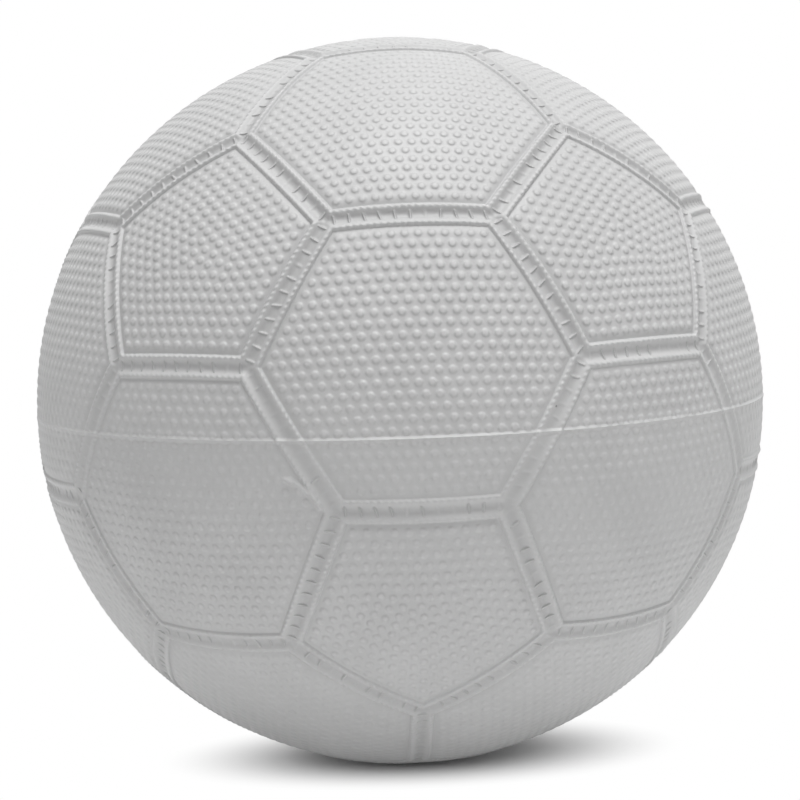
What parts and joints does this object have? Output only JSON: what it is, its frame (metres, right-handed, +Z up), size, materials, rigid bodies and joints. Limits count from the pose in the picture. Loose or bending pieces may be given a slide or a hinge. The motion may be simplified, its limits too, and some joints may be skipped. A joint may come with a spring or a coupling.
{
  "type": "handball",
  "caption": "Moulded rubber handball with pimpled panels and stitched-look seams in relief, a thread-wound carcass, an air bladder and a pull-out needle valve core.",
  "frame": {"origin": "on the surface the ball rests on, in the middle of its rest flat and under its centre", "axes": "+Z up along the mould's axis and through the valve; -Y towards the pictured side"},
  "size_m": [0.188, 0.1872, 0.1866],
  "materials": {
    "cover": "matt light grey moulded rubber",
    "thread": "wound nylon thread",
    "bladder": "smooth black butyl",
    "valve_bush": "smooth dark rubber",
    "patch": "matt black sheet rubber",
    "valve_core": "matt grey rubber"
  },
  "bodies": {
    "ball": {"cover_upper_half": "cover", "cover_lower_half": "cover", "thread_winding": "thread", "bladder": "bladder", "valve_seat": "valve_bush", "valve_patch": "patch", "balance_patch": "patch"},
    "valve_core": {"valve_plug": "valve_core"}
  },
  "joints": [
    {"name": "valve_core_pull", "type": "slide", "parent": "ball", "child": "valve_core", "axis": [0, 0, 1], "range_m": [0, 0.014]}
  ]
}
